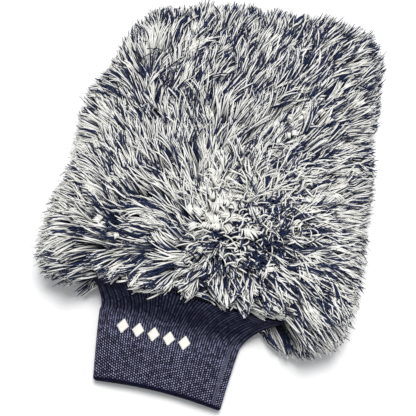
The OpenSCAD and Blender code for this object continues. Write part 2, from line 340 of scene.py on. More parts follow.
def knit_material(name, light, dark, band):
    """Rib knit: rows of small stitches up every wale, in paler yarn over dark gaps; the dark of the gaps
    is painted shade.
    """
    m = Material(name, 0.85, specular=0.06)
    wale, along = m.stitch_place()
    across = m.math("SINE", m.math("MULTIPLY", wale, math.pi))
    across = m.math("ABSOLUTE", across)
    # Each stitch is a V, half a stitch up from the next wale's, and the rows wander a little
    odd = m.math("MULTIPLY", m.math("FLOOR", m.math("MODULO", wale, 2.0)), 0.5)
    arm = m.math("ABSOLUTE", m.math("SUBTRACT", m.math("FRACT", wale), 0.5))
    rise = m.math("ADD", m.math("MULTIPLY", arm, 0.9), m.math("MULTIPLY", m.noise(45.0), 2.5))
    course = m.math("ADD", m.math("MULTIPLY", along, 1 / COURSE), m.math("ADD", odd, rise))
    loop = m.math("SINE", m.math("MULTIPLY", course, 2 * math.pi))
    # Towards the stretched throat the rows merge into ribs
    row = m.math("MAXIMUM", m.mapped(loop, -0.35, 0.9, 0.03, 1.0), m.mapped(along, 22.0, 44.0, 0.0, 0.62))
    stitch = m.math("MULTIPLY", m.mapped(across, 0.42, 0.97), row)
    whole = {0: m.math("FLOOR", wale), 1: m.math("FLOOR", course), 2: 0.0}
    place = m.node("ShaderNodeCombineXYZ", whole).outputs[0]
    uneven = m.node("ShaderNodeTexWhiteNoise", {"Vector": place}, noise_dimensions="3D").outputs["Value"]
    uneven = m.mapped(uneven, 0.0, 1.0, 0.25, 1.3)
    worn = m.mapped(m.noise(160.0, 3.0), 0.3, 0.7, 0.7, 1.15)
    # The dark colour between the stitches is painted shade, for the shadow in the knit's gaps
    colour = m.mixed(m.math("MULTIPLY", stitch, m.math("MULTIPLY", uneven, worn)), dark, light)
    if band:
        # Painted shade: the folded hem, whose fold turns under into shadow, and the stretched throat, in
        # shadow under the pile, are painted the darkest
        clear_of_painted_shade = m.math("MULTIPLY", m.mapped(along, 1.0, band), m.mapped(along, 28.0, 52.0, 1.0, 0.15))
        colour = m.mixed(clear_of_painted_shade, rgb(0.004, 0.005, 0.018), colour)
    m.paint(colour)
    m.bump(stitch, 0.8, 0.0003)
    return m.made


def thread_material(name, low, high, scale, roughness=0.7, sheen=0.1):
    m = Material(name, roughness, sheen=sheen)
    m.paint(m.mixed(m.noise(scale, 3.0), low, high))
    m.bump(m.noise(scale * 2.5), 0.4, 0.0002)
    return m.made


def woven_material(name, low, high, pitch):
    """Plain weave on the Stitches map, with threads a pitch apart in millimetres."""
    m = Material(name, 0.8)
    x, y = m.stitch_place()
    a = m.math("SINE", m.math("MULTIPLY", x, 2 * math.pi / pitch))
    b = m.math("SINE", m.math("MULTIPLY", y, 2 * math.pi / pitch))
    weave = m.mapped(m.math("MULTIPLY", a, b), -1.0, 1.0)
    m.paint(m.mixed(weave, low, high))
    m.bump(weave, 0.6, 0.0002)
    return m.made


def floor_material():
    m = Material("studio_floor", 0.85, specular=0.2)
    m.paint(m.mixed(m.noise(4.0), rgb(0.93, 0.93, 0.93), rgb(0.95, 0.95, 0.95)))
    return m.made


def dress(obj, material, body=None, nodes=()):
    """Give a finished piece its material in a slot, put it on its body if it has one, and hide the CAD
    nodes that it stands for.
    """
    obj.data.materials.append(material)
    if nodes:
        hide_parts(*nodes)
    if body:
        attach(obj, body)


def dress_bending(obj, material, nodes=()):
    """The same for a piece that bends across the wrist."""
    dress(obj, material, None, nodes)
    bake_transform(obj)


# ---- Shape of the pocket, in pocket coordinates ----

def outline_radius(a, grow):
    square = np.where(np.sin(a) > 0, FAR_SQUARE, NEAR_SQUARE)
    w, l = SHELL_W / 2 + grow, SHELL_LEN / 2 + grow
    return ((np.abs(np.cos(a)) / w) ** square + (np.abs(np.sin(a)) / l) ** square) ** (-1 / square)


def outline(a, grow=0.0):
    """Points of the pocket's outline, grown, in directions a."""
    r = outline_radius(a, grow)
    y = r * np.sin(a)
    return np.stack([r * np.cos(a) * (1 - TAPER * y / (SHELL_LEN / 2 + grow)), y], -1)


def mouth_lift(points, height, width):
    """Height of the mouth's arch over outline points."""
    inside = (points[..., 1] < 0) & (np.abs(points[..., 0]) < width / 2)
    return np.where(inside, height * np.sqrt(np.clip(1 - (2 * points[..., 0] / width) ** 2, 0, 1)), 0)


def mouth_edge(x, grow):
    w, l = (SHELL_W / 2 + grow) * (1 + TAPER), SHELL_LEN / 2 + grow
    return -l * (1 - (np.abs(x) / w) ** NEAR_SQUARE) ** (1 / NEAR_SQUARE)


def panel_face(a, t, inset, drop):
    """One face of a ground or lining panel: t runs from its middle, 0, to its rim, 1."""
    rim = outline(a, -inset)
    height = HALF_T - drop
    lift = mouth_lift(rim, MOUTH_H - drop, MOUTH_W - 2 * drop) / height
    q = mix(POCKET_FLAT, 1, t)
    z = height * np.sqrt(1 - t ** 2.5 * (1 - lift ** 2)) + 0.15
    return np.stack([q * rim[..., 0], q * rim[..., 1], z], -1)


def share_to_rim(x, y):
    """How far from the middle to the outline the points are, and the directions they lie in."""
    straight = x / (1 - TAPER * y / (SHELL_LEN / 2))
    a = np.arctan2(y, straight)
    return np.hypot(straight, y) / outline_radius(a, 0.0), a


def ground_height(x, y):
    """Height of the ground fabric's outside over the middle plane."""
    q, a = share_to_rim(x, y)
    t = np.clip((q - POCKET_FLAT) / (1 - POCKET_FLAT), 0, 1)
    lift = mouth_lift(outline(a), MOUTH_H, MOUTH_W) / HALF_T
    return HALF_T * np.sqrt(1 - t ** 2.5 * (1 - lift ** 2))


def ground_normal(x, y):
    step = 0.6
    dx = (ground_height(x + step, y) - ground_height(x - step, y)) / (2 * step)
    dy = (ground_height(x, y + step) - ground_height(x, y - step)) / (2 * step)
    return unit(np.stack([-dx, -dy, np.ones_like(dx)], -1))


def to_frame(points, palm=False):
    """Pocket coordinates to the shared frame, in millimetres. The soft finger end lies a little askew."""
    x, y, z = points[..., 0], points[..., 1], points[..., 2]
    askew = 0.09 * x * ease((y + 25) / 135)
    return np.stack([x, y + askew + POCKET_Y, MID_Z - z if palm else MID_Z + z], -1)


def flip_faces(obj):
    obj.data.flip_normals()
    return obj


# ---- Shape of the knit, in the shared frame, in millimetres ----

def oval(a, w, h, square):
    x = w * np.sign(np.cos(a)) * np.abs(np.cos(a)) ** (2 / square)
    return x, h * np.sign(np.sin(a)) * np.abs(np.sin(a)) ** (2 / square)


def cuff_half_w(y):
    return mix(HEM_W, NECK_W, (y - HEM_Y) / CUFF_LEN) / 2


def cuff_top(x, y):
    """Height of the cuff's upper face over its middle plane."""
    share = np.clip(np.abs(x - CUFF_SHIFT) / cuff_half_w(y), 0, 1)
    return CUFF_HALF_T * (1 - share ** KNIT_SQUARE) ** (1 / KNIT_SQUARE)


def cuff_outline(a, y, depth):
    x, z = oval(a, cuff_half_w(y) - depth, CUFF_HALF_T - depth, KNIT_SQUARE)
    return np.stack([x + CUFF_SHIFT, np.full_like(x, y), CUFF_Z + z], -1)


def throat_outline(a, t, depth):
    """Outline of the throat: t runs from the neck, 0, to the mouth, 1."""
    w = mix(NECK_W / 2, MOUTH_W / 2 + KNIT_T / 2, t ** 2.2)
    h = mix(CUFF_HALF_T, MOUTH_H + KNIT_T / 2, t)
    x, z = oval(a, w - depth, h - depth, mix(KNIT_SQUARE, 2, t))
    edge = POCKET_Y + mouth_edge(MOUTH_W / 2 * np.cos(a), THROAT_OUT)
    y = mix(NECK_Y, edge, t)
    return np.stack([x + mix(CUFF_SHIFT, 0, t), y, mix(CUFF_Z, MID_Z, ease(t)) + z], -1)


DENSE = np.linspace(0, 2 * math.pi, 4096, endpoint=False) + 1e-4


def even_ring(shape, where, count):
    """Points evenly spaced round an outline, and the inward step for one millimetre of depth."""
    outer, inner = shape(DENSE, where, 0.0), shape(DENSE, where, 1.0)
    total = run_along(np.vstack([outer, outer[:1]]))
    place = np.interp(np.arange(count) * total[-1] / count, total, np.arange(len(total)))
    low = place.astype(int)
    part = (place - low)[:, None]
    high = (low + 1) % len(outer)
    on = mix(outer[low % len(outer)], outer[high], part)
    under = mix(inner[low % len(inner)], inner[high], part)
    return on, under - on


soft_wave = smooth_noise(11, 30.0)


def lay_cuff(points):
    """Let the cuff lie as soft knit does: its hem curves in between the corners and its top waves."""
    x, y, z = points[..., 0], points[..., 1], points[..., 2]
    down = np.clip((NECK_Y - y) / CUFF_LEN, 0, 1)
    across = (x - CUFF_SHIFT) / (HEM_W / 2)
    inner = 1 - np.clip(across ** 2, 0, 1)
    bow = 3.0 * inner + 1.8 * np.clip(across, -1, 1) - 1.6
    upper = ease((z - CUFF_Z) / 4)
    wave = 0.55 * soft_wave(x, y) * upper * ease(down * 3) * ease((1 - across ** 2) * 3)
    sag = -0.9 * np.sin(math.pi * down) * inner * upper
    return np.stack([x + 4.5 * down ** 1.3, y + bow * down ** 1.6, z + wave + sag], -1)


# ---- Pile ----

# The most strands in one piece, which keeps its mesh file small
MOST_STRANDS = 3500

# Where the pile is combed away from: x, y in the shared frame, strength, and reach in millimetres
CROWNS = [
    (20, -42, 1.0, 400),
    (-76, 72, 0.9, 34),
    (66, 62, 0.35, 22),
]
# The tangle round the main crown: middle and reach in the shared frame
TANGLE = (33, -30)
TANGLE_REACH = 31
# Spots where the pile is paler, above 0, or parts to show its dark base: x, y, reach and amount
SPOTS = [
    (-71, 78, 12, 0.6), (2, -18, 15, 0.3), (39, 44, 9, 0.25), (66, 63, 9, 0.25),
    (-74, -55, 20, 0.35), (-92, -20, 16, 0.3), (80, -20, 18, 0.15),
    (-29, 97, 15, -0.4), (35, 102, 9, -0.35), (34, -50, 13, -0.45), (46, -24, 10, -0.3),
    (-42, -48, 15, -0.35), (96, 39, 17, -0.35), (60, 10, 10, -0.2),
]
bend_noise = smooth_noise(3, 50.0)
tuft_noise = smooth_noise(4, 18.0)
lift_noise = smooth_noise(5, 24.0)
shade_noise = smooth_noise(6, 15.0)
broad_shade = smooth_noise(7, 75.0)
lock_noise = smooth_noise(8, 11.0)


def spot_shade(x, y):
    """How much paler or darker the spots make the pile at pocket points."""
    total = np.zeros(x.shape)
    for cx, cy, reach, amount in SPOTS:
        total += amount * np.exp(-((x - cx) ** 2 + (y + POCKET_Y - cy) ** 2) / reach ** 2)
    return total


def comb_direction(x, y):
    """Unit direction in which the pile leans at pocket points, and how tangled it is there."""
    total = np.zeros(x.shape + (2,))
    for cx, cy, strength, reach in CROWNS:
        away = np.stack([x - cx, y + POCKET_Y - cy], -1)
        distance = np.linalg.norm(away, axis=-1)
        weight = strength * np.exp(-(distance / reach) ** 2) * ease(distance / 12)
        # The pile spirals a little on its way out, most towards the upper left
        spiral = -0.42 * ease((away[..., 1] - away[..., 0] + 30) / 80)
        away = turned(away, spiral)
        total += weight[..., None] * away / np.maximum(distance, 1)[..., None]
    outward = np.stack([x / (SHELL_W / 2), y / (SHELL_LEN / 2)], -1)
    q = share_to_rim(x, y)[0]
    total += outward * (0.05 + 0.9 * ease((q - 0.72) / 0.28))[..., None]
    # The fringe over the wrist hangs straight down more than it fans out
    total = unit(total)
    fringe = ease((-SHELL_LEN / 2 + 26 - y) / 26) * ease((70 - np.abs(x)) / 30)
    total += 0.9 * fringe[..., None] * np.array([0.0, -1.0])
    heading = turned(unit(total), 0.34 * bend_noise(x, y))
    tangle = np.exp(-((x - TANGLE[0]) ** 2 + (y + POCKET_Y - TANGLE[1]) ** 2) / TANGLE_REACH ** 2)
    return heading, tangle


def panel_tufts(pitch, limit):
    """Roots of the tufts over a panel, on a loose grid."""
    xs = np.arange(-SHELL_W / 2 - 8, SHELL_W / 2 + 8, pitch)
    ys = np.arange(-SHELL_LEN / 2, SHELL_LEN / 2, pitch * 0.87)
    x, y = np.meshgrid(xs, ys)
    x = x + (np.arange(len(ys)) % 2)[:, None] * pitch / 2
    x = (x + rng.uniform(-0.33, 0.33, x.shape) * pitch).ravel()
    y = (y + rng.uniform(-0.33, 0.33, y.shape) * pitch).ravel()
    keep = share_to_rim(x, y)[0] < limit
    x, y = x[keep], y[keep]
    root = np.stack([x, y, ground_height(x, y)], -1)
    return root, ground_normal(x, y)


def rim_tufts(pitch, tilts):
    """Roots round a panel's rim: one row for each upward tilt of the strands, in degrees."""
    a = np.linspace(0, 2 * math.pi, 2000, endpoint=False)
    inset = 0.8
    line = outline(a, -inset)
    total = run_along(np.vstack([line, line[:1]]))
    roots, normals = [], []
    for tilt in np.radians(tilts):
        count = int(total[-1] / pitch)
        at = (np.arange(count) + rng.uniform(-0.35, 0.35, count)) / count % 1.0
        angle = np.interp(at * total[-1], total, np.append(a, 2 * math.pi))
        point = outline(angle, -inset)
        out = unit(point - outline(angle, -3.0))
        height = mouth_lift(point, MOUTH_H, MOUTH_W) + 3.5 * math.sin(tilt)
        roots.append(np.stack([point[:, 0], point[:, 1], height], -1))
        flat_part = out * math.cos(tilt)
        normals.append(np.stack([flat_part[:, 0], flat_part[:, 1], np.full(count, math.sin(tilt))], -1))
    return np.concatenate(roots), np.concatenate(normals)


# Points along a strand, how far its roots spread in a tuft in millimetres, and the usual share of white
RINGS = 7
TUFT_RADIUS = 1.9
WHITE_SHARE = 0.56


def tuft_traits(root, length, lean, palm):
    """Heading, tangle, length, lift, share of white strands and swirl of each tuft."""
    tufts = len(root)
    x, y = root[:, 0], root[:, 1]
    heading, tangle = comb_direction(x, y)
    wander = 0.26 * tuft_noise(x, y) + rng.normal(0, 0.15, tufts) + rng.normal(0, 1.1, tufts) * tangle
    heading = turned(heading, wander)
    spot = spot_shade(x, y)
    near_right = ease(x / 40) * ease(-y / 40)
    long = length * rng.uniform(0.84, 1.14, tufts) * (1 - 0.34 * tangle + 0.4 * np.minimum(spot, 0))
    long *= 1 + mix(0.2, 0.6, near_right) * cornerness(root)
    if not palm:
        # The pile over the right of the mouth is shorter
        over_mouth = ease((x + 15) / 30) * ease((78 - x) / 10) * ease((OVER_MOUTH_Y - y) / 8)
        long *= 1 - 0.35 * over_mouth
    lift = (1 - lean) * np.exp(0.5 * lift_noise(x, y) + rng.normal(0, 0.3, tufts)) + 0.8 * tangle
    shade = 0.15 * shade_noise(x, y) + 0.07 * broad_shade(x, y) + 0.7 * spot
    # Painted shade: fewer of the strands are white towards the fingertips, which darkens that end of the
    # pile for the shade between its strands there
    shade -= 0.13 * ease((y + 20) / 90)
    white_share = np.clip(WHITE_SHARE + shade + rng.normal(0, 0.1, tufts), 0.1, 0.95)
    return heading, tangle, long, lift, white_share, rng.normal(0, 0.38, tufts)


def strand_paths(n, start, heading, tangle, length, lift, swirl, droop_by):
    """Step each strand out along the panel's normal n, over to its heading, and down as it droops."""
    count, steps = len(n), RINGS - 1
    two_d = turned(heading, rng.normal(0, 0.14, count))
    lift = lift * np.exp(rng.normal(0, 0.25, count))
    tip = unit(np.concatenate([two_d, np.zeros((count, 1))], -1) + lift[:, None] * n)
    length = length * rng.uniform(0.82, 1.1, count)
    bend = rng.uniform(0.3, 0.62, count)
    swirl = swirl + rng.normal(0, 0.25, count) + tangle * rng.normal(0, 2.2, count)
    level = unit(np.cross(np.broadcast_to([0, 0, 1.0], tip.shape), tip) + 1e-6)
    curl = tangle * rng.uniform(0, 1.6, count)
    path = np.empty((count, RINGS, 3))
    path[:, 0] = start
    for k in range(steps):
        s = (k + 0.5) / steps
        way = mix(0.8 * n + 0.2 * tip, tip, ease(s / bend)[:, None])
        way = unit(way) + level * (swirl * s * s)[:, None]
        droop = droop_by * s * s + curl * s ** 3
        down = np.stack([0 * droop, 0 * droop, droop], -1)
        way = unit(way - down)
        path[:, k + 1] = path[:, k] + way * (length / steps)[:, None]
    return path, tip


def grow_strands(root, normal, per_tuft, length, lean, palm=False):
    """Paths, radii, sideways vectors and tones of the strands of some tufts, in pocket coordinates.
    lean is how far the strands lie over, from 0, upright, to 1, flat."""
    tufts = len(root)
    traits = tuft_traits(root, length, lean, palm)

    def each(value):
        return np.repeat(value, per_tuft, axis=0)

    heading, tangle, long, lift, white_share, swirl = [each(trait) for trait in traits]
    count = tufts * per_tuft
    n = each(normal)
    side = unit(np.cross(n, np.array([0.3, 0.9, 0.2])))
    other = np.cross(n, side)
    spread = TUFT_RADIUS * np.sqrt(rng.uniform(0, 1, count))
    around = rng.uniform(0, 2 * math.pi, count)
    offset = side * (spread * np.cos(around))[:, None] + other * (spread * np.sin(around))[:, None]
    start = each(root) + offset - 0.3 * n
    droop_by = 0.05 if palm else 0.16
    path, tip = strand_paths(n, start, heading, tangle, long, lift, swirl, droop_by)

    # The strands of a tuft gather towards its tip
    way_along = np.arange(RINGS) / (RINGS - 1)
    gather = 0.3 * ease((way_along - 0.3) / 0.7)[None, :, None]
    middle = path.reshape(tufts, per_tuft, RINGS, 3).mean(1)
    path = trim_outline(mix(path, each(middle), gather), palm)

    white = rng.uniform(0, 1, count) < white_share
    tone = np.where(white, rng.uniform(0.68, 1.0, count), rng.uniform(0.0, 0.32, count))
    thick = rng.uniform(0.38, 0.62, count) * np.where(white, 1.1, 0.95)
    taper = np.interp(way_along, [0, 0.3, 0.85, 1], [0.95, 1, 0.85, 0.4])
    radius = thick[:, None] * taper[None]
    sideways = np.broadcast_to(unit(np.cross(n, tip) + 1e-6)[:, None], path.shape)
    kept = not_stubs(path)
    return path[kept], radius[kept], sideways[kept], tone[kept]


def not_stubs(path):
    """Which strands to keep: those cut back to an upright wall over the mouth are left out."""
    run = np.linalg.norm((path[:, -1] - path[:, 0])[:, :2], axis=1)
    clear_of_mouth = (path[:, 0, 1] > OVER_MOUTH_Y) | (np.abs(path[:, 0, 0] - 30) > 45)
    return (run > 6) | clear_of_mouth


def cornerness(points):
    """1 at the pocket's corners, 0 along its sides."""
    diagonal = np.arctan2(np.abs(points[..., 1]) / SHELL_LEN, np.abs(points[..., 0]) / SHELL_W)
    return np.sin(2 * diagonal) ** 4


def pile_reach(tip):
    """How far from the pocket's middle the pile is clipped, in the direction of each strand's tip."""
    x, y, z = tip[:, 0], tip[:, 1], tip[:, 2]
    a = share_to_rim(x, y)[1]
    right, upper = ease(0.5 + x / 40), ease((y + 15) / 60)
    rounded = np.sqrt(np.clip(1 - (z / 34) ** 2, 0.1, 1))
    left_side = mix(16, -2, ease((y + 75) / 90)) + 14 * ease((y - 20) / 40)
    right_side = mix(2, 13, ease((y + 5) / 55)) + 14 * ease((y - 50) / 35)
    narrow = np.cos(a) ** 2 * mix(left_side, right_side, right)
    reach = np.linalg.norm(outline(a, PILE_SIDE * rounded + rng.normal(0, 1.5, len(tip))), axis=1)
    reach += mix(mix(9, 7, right), mix(4, 15, right), upper) * cornerness(tip) - narrow
    # The far edge dips beside its left corner
    return reach - 10 * np.exp(-((a - 2.08) / 0.11) ** 2)


def pile_front(x, palm):
    """Least y of the pile: it hangs a little over the mouth and further on either side of it."""
    centre, half, ramp = (-4, 56, 10) if palm else (5, 73, 12)
    over_mouth = ease((half + ramp - np.abs(x - centre)) / ramp)
    side_drop = mix(14, mix(4, 19, ease((x - 52) / 32)), ease(x / 20))
    if palm:
        lip = np.full(len(x), PALM_LIP)
    else:
        lip = mix(2, -3.5, ease((x + 15) / 30)) + mix(3.5, 7, ease(x / 30)) * lock_noise(x, 0 * x)
    return -SHELL_LEN / 2 - mix(side_drop, lip, over_mouth) - np.abs(rng.normal(0, 1.8, len(x)))


def trim_outline(path, palm):
    """Draw strands in where their tips stand past the pile's outline or hang below its front edge."""
    root, tip = path[:, 0], path[:, -1]
    reach = pile_reach(tip)
    root_r, tip_r = np.linalg.norm(root[:, :2], axis=1), np.linalg.norm(tip[:, :2], axis=1)
    share = np.clip((reach - root_r) / np.maximum(tip_r - root_r, 1e-3), 0.1, 1)
    share = np.where(tip_r > np.maximum(reach, root_r), share, 1)[:, None]
    path = path.copy()
    path[..., :2] = mix(path[:, :1, :2], path[..., :2], share[..., None])
    lowest = pile_front(path[:, -1, 0], palm)
    drop = path[:, 0, 1] - path[:, -1, 1]
    keep = np.clip((path[:, 0, 1] - lowest) / np.maximum(drop, 1e-3), 0.1, 1)
    keep = np.where(path[:, -1, 1] < lowest, keep, 1)[:, None]
    path[..., 1] = mix(path[:, :1, 1], path[..., 1], keep)
    return path


CURL_TAPER = np.array([0.7, 0.95, 1.05, 1.1, 1, 0.85, 0.5])


def grow_curls(groups):
    """Strands bent over in arcs, one by one or side by side in a folded tuft, where the pile is tangled.
    Each group: x, y, number, reach, strands in a bundle, least and most arc radius, strand radius and
    share of white."""
    paths, radii, sides, tones = [], [], [], []
    for cx, cy, number, reach, bundle, least, most, thick, white in groups:
        for _ in range(number):
            scatter = np.clip(rng.normal(0, reach, 2), -1.8 * reach, 1.8 * reach)
            x, y = np.array([cx, cy - POCKET_Y]) + scatter
            up = ground_normal(x, y)
            base = np.array([x, y, ground_height(x, y)]) + up * rng.uniform(9, 15)
            heading = rng.uniform(0, 2 * math.pi)
            flat_way = np.array([math.cos(heading), math.sin(heading), 0])
            across = np.array([-flat_way[1], flat_way[0], 0])
            lie = rng.uniform(-1, 1) if bundle == 1 else rng.uniform(-0.4, 0.4)
            rise = up * math.cos(lie) + across * math.sin(lie)
            size = rng.uniform(least, most)
            turn = rng.uniform(2.2, 4.4) if bundle == 1 else rng.uniform(2.3, 3.1)
            pale = rng.uniform() < white
            s = np.linspace(0, 1, RINGS)[:, None]
            for k in range(bundle):
                row = across * (k - (bundle - 1) / 2) * 0.68 + rise * rng.normal(0, 0.25)
                own = size * rng.uniform(0.85, 1.15)
                arc = flat_way * (1 - np.cos(turn * s)) + rise * np.sin(turn * s)
                # The outer strands of a bundle dip, so that it is round
                dip = rise * (abs(k - (bundle - 1) / 2) ** 2 * 0.16)
                paths.append(base + row - dip + own * arc + across * s * rng.normal(0, 0.5 + 1.5 / bundle))
                radii.append(thick * rng.uniform(0.8, 1.2) * CURL_TAPER)
                sides.append(np.broadcast_to(np.cross(flat_way, rise), (RINGS, 3)))
                tones.append(rng.uniform(0.68, 0.92) if pale else rng.uniform(0, 0.3))
    return np.array(paths), np.array(radii), np.array(sides), np.array(tones)


def throat_top(x, y, sign):
    """Height of the throat's upper (sign 1) or lower (sign -1) face in the shared frame."""
    t = np.clip((y - NECK_Y) / (MOUTH_Y - THROAT_OUT - NECK_Y), 0, 1)
    w = mix(NECK_W / 2, MOUTH_W / 2, t ** 2.2)
    h = mix(CUFF_HALF_T, MOUTH_H + 0.6, t)
    share = np.clip(np.abs(x - mix(CUFF_SHIFT, 0, t)) / w, 0, 1)
    return mix(CUFF_Z, MID_Z, ease(t)) + sign * h * np.sqrt(1 - share ** 2.6), share < 1


def settle(path, palm):
    """Keep strands above the floor and mostly clear of the knit; some of them still touch it."""
    p = to_frame(path, palm)
    x, y, z = p[..., 0], p[..., 1], p[..., 2]
    over_knit = y < MOUTH_Y + 2
    if palm:
        below, inside = throat_top(x, y, -1)
        under_cuff = over_knit & (np.abs(x) < 60)
        short = np.where(under_cuff, MOUTH_Y - 7, -1e9)
        y = np.where(y < short, short - 0.15 * (short - y), y)
        z = np.where(over_knit & inside & (z > below - 1), below - 1, z)
        z = np.minimum(z, MID_Z + 3)
    else:
        above, inside = throat_top(x, y, 1)
        z = np.where(over_knit & inside, np.maximum(z, above + 0.9), z)
    # The top of the pile is a low dome
    share = share_to_rim(x, y - POCKET_Y)[0]
    top = PILE_TOP - 2 - 8 * ease((share - 0.3) / 0.8)
    z = np.where(z > top, top + 0.3 * (z - top), z)
    floor_gap = 0.9
    z = floor_gap + np.where(z > floor_gap + 4, z - floor_gap, 4 * np.exp((z - floor_gap - 4) / 4))
    return np.stack([x, y, z], -1)


def pile_pieces(name, strands, palm):
    """Split strands into pieces by their direction from the pocket's middle; those over the wrist bend."""
    path, radius, sideways, tone = strands
    path = settle(path, palm)
    sideways = sideways * [1, 1, -1 if palm else 1]
    tip = path[:, -1]
    fringe = (path[..., 1].min(1) < BEND_START[1] / MM) & (np.abs(path[..., 0]).max(1) < 68)
    angle = np.arctan2(tip[:, 1] - POCKET_Y, tip[:, 0])
    parts = math.ceil((~fringe).sum() / MOST_STRANDS)
    sector = np.zeros(len(tip), int)
    order = np.argsort(angle[~fringe])
    sector[np.flatnonzero(~fringe)[order]] = np.arange(len(order)) * parts // max(len(order), 1) + 1
    # reach runs from 0 at each strand's root to 1 at its tip; the pile material paints shade towards the
    # roots with it
    reach = np.linspace(0, 1, RINGS)[None, :].repeat(len(tip), 0)
    for part in range(parts + 1):
        chosen = sector == part
        if not chosen.any():
            continue
        piece_name = f"{name}_fringe" if part == 0 else f"{name}_{part}"
        values = {"tone": tone[chosen], "reach": reach[chosen]}
        piece = tubes(piece_name, path[chosen], radius[chosen], sideways[chosen], 4, values)
        if part == 0:
            dress_bending(piece, PILE, [name])
        else:
            dress(piece, PILE, "mitt", [name])


def joined(*groups):
    return tuple(np.concatenate(items) for items in zip(*groups))


def make_pile():
    back = joined(
        grow_strands(*panel_tufts(4.3, 0.965), 9, 27, 0.62),
        grow_strands(*rim_tufts(4.1, [62, 42, 22, 4]), 8, 29, 0.5),
    )
    pile_pieces("back_pile", back, False)
    curls = grow_curls([
        (12, -30, 34, 11, 7, 2.2, 3.6, 0.52, 1.0),
        (36, -20, 44, 22, 6, 2.0, 3.2, 0.5, 0.85),
        (34, -30, 420, 22, 1, 1.6, 4.4, 0.46, 0.52),
        (30, -52, 90, 8, 1, 1.2, 2.6, 0.42, 0.4),
        (39, 44, 9, 8, 5, 1.8, 3.0, 0.5, 1.0),
        (66, 62, 8, 8, 5, 1.8, 3.0, 0.5, 1.0),
        (-74, 92, 13, 5, 1, 3.5, 6.5, 0.36, 0.1),
        (-70, -58, 8, 9, 5, 1.6, 2.6, 0.5, 1.0),
    ])
    path, radius, sideways, tone = curls
    # The curls get no painted root shade
    reach = np.ones((len(tone), RINGS))
    piece = tubes("back_pile_curls", to_frame(path), radius, sideways, 6, {"tone": tone, "reach": reach})
    dress(piece, PILE, "mitt", ["back_pile"])
    palm = joined(
        grow_strands(*panel_tufts(6.6, 0.965), 7, 20, 0.75, palm=True),
        grow_strands(*rim_tufts(4.6, [50, 25, 6]), 7, 28, 0.6, palm=True),
    )
    pile_pieces("palm_pile", palm, True)


# ---- Fabrics inside the pocket ----

def panel_solid(name, inset, drop, thickness, palm, folds):
    """Thin domed panel with an outer and an inner face. folds is how deep its soft creases run."""
    a = np.linspace(0, 2 * math.pi, 168, endpoint=False)[None, :]
    t = np.linspace(0, 1, 26)[:, None] ** 0.8
    crease = smooth_noise(21 if palm else 22, 34.0)
    faces = []
    for extra in (0.0, thickness):
        face = panel_face(a + 0 * t, t + 0 * a, inset + extra, drop + extra)
        depth = folds * np.clip(crease(face[..., 0], face[..., 1]), 0, 1) * (1 - t ** 4)
        face[..., 2] -= depth
        faces.append(face)
    rings = np.concatenate([faces[0], faces[1][::-1]])
    hub = rings[:1].mean(1, keepdims=True) + 0 * rings[:1]
    hub_in = rings[-1:].mean(1, keepdims=True) + 0 * rings[-1:]
    rings = np.concatenate([mix(hub, rings[:1], 0.02), mix(hub, rings[:1], 0.5), rings,
                            mix(hub_in, rings[-1:], 0.5), mix(hub_in, rings[-1:], 0.02)])
    points = to_frame(rings, palm)
    uv = points[..., :2]
    uv = np.concatenate([uv, uv[:, :1]], 1)
    uv = np.concatenate([uv, uv[-1:]], 0)
    obj = grid_object(name, points, uv, False, True)
    if not palm:
        flip_faces(obj)
    return obj


def wound_thread(name, path, wind_r, thread_r, pitch, upright):
    """Thread wound round a path, as an overlock or chain of stitches is."""
    lengths = run_along(path)
    along = np.arange(0, lengths[-1], pitch / 7)
    centre = np.stack([np.interp(along, lengths, path[:, c]) for c in range(3)], -1)
    tangent = unit(np.gradient(centre, axis=0))
    u = unit(upright - (tangent * upright).sum(-1, keepdims=True) * tangent)
    v = np.cross(tangent, u)
    phase = (2 * math.pi * along / pitch)[:, None]
    thread = centre + wind_r * (u * np.cos(phase) + v * np.sin(phase))
    radius = np.full((1, len(along)), thread_r)
    return tubes(name, thread[None], radius, np.broadcast_to(v, (1,) + thread.shape), 6)


def perimeter_path(inset):
    corner = math.atan2(-mouth_edge(MOUTH_W / 2, 0), MOUTH_W / 2) - 0.09
    a = np.linspace(-corner, math.pi + corner, 500)
    flat_line = outline(a, -inset)
    return to_frame(np.concatenate([flat_line, np.zeros((len(a), 1))], -1))


def make_inside():
    # Laid flat, a domed panel is larger than its outline
    for side, palm in (("back", False), ("palm", True)):
        ground = panel_solid(f"{side}_ground_fabric", 0.0, 0.0, BACKING_T, palm, 0.0)
        dress(ground, GROUND, "mitt", [f"{side}_backing"])
        lining = panel_solid(f"{side}_lining_cloth", LINING_IN, LINING_DROP, LINING_T, palm, 1.2)
        dress(lining, LINING, "mitt", [f"{side}_lining"])
    up = np.array([0, 0, 1.0])
    edge = wound_thread("edge_overlock", perimeter_path(BACKING_T + 1.2), 0.4, 0.24, 1.8, up)
    dress(edge, THREAD, "mitt", ["edge_seam"])
    inner = wound_thread("lining_stitches", perimeter_path(3.5), 0.24, 0.2, 2.4, up)
    dress(inner, THREAD, "mitt", ["lining_seam"])
    a = np.linspace(0, 2 * math.pi, 400)
    x = MOUTH_W / 2 * np.cos(a)
    ring = np.stack([x, mouth_edge(x, 1.3), MOUTH_H * np.sin(a)], -1)
    mouth = wound_thread("mouth_overlock", to_frame(ring), 0.62, 0.3, 1.9, np.array([0, 1.0, 0]))
    dress(mouth, THREAD, "mitt", ["mouth_seam"])


# ---- Cuff ----

# Ribs round the cuff, mesh columns to each, and folds that gather the throat
WALES = 126
PER_WALE = 7
GATHERS = 41


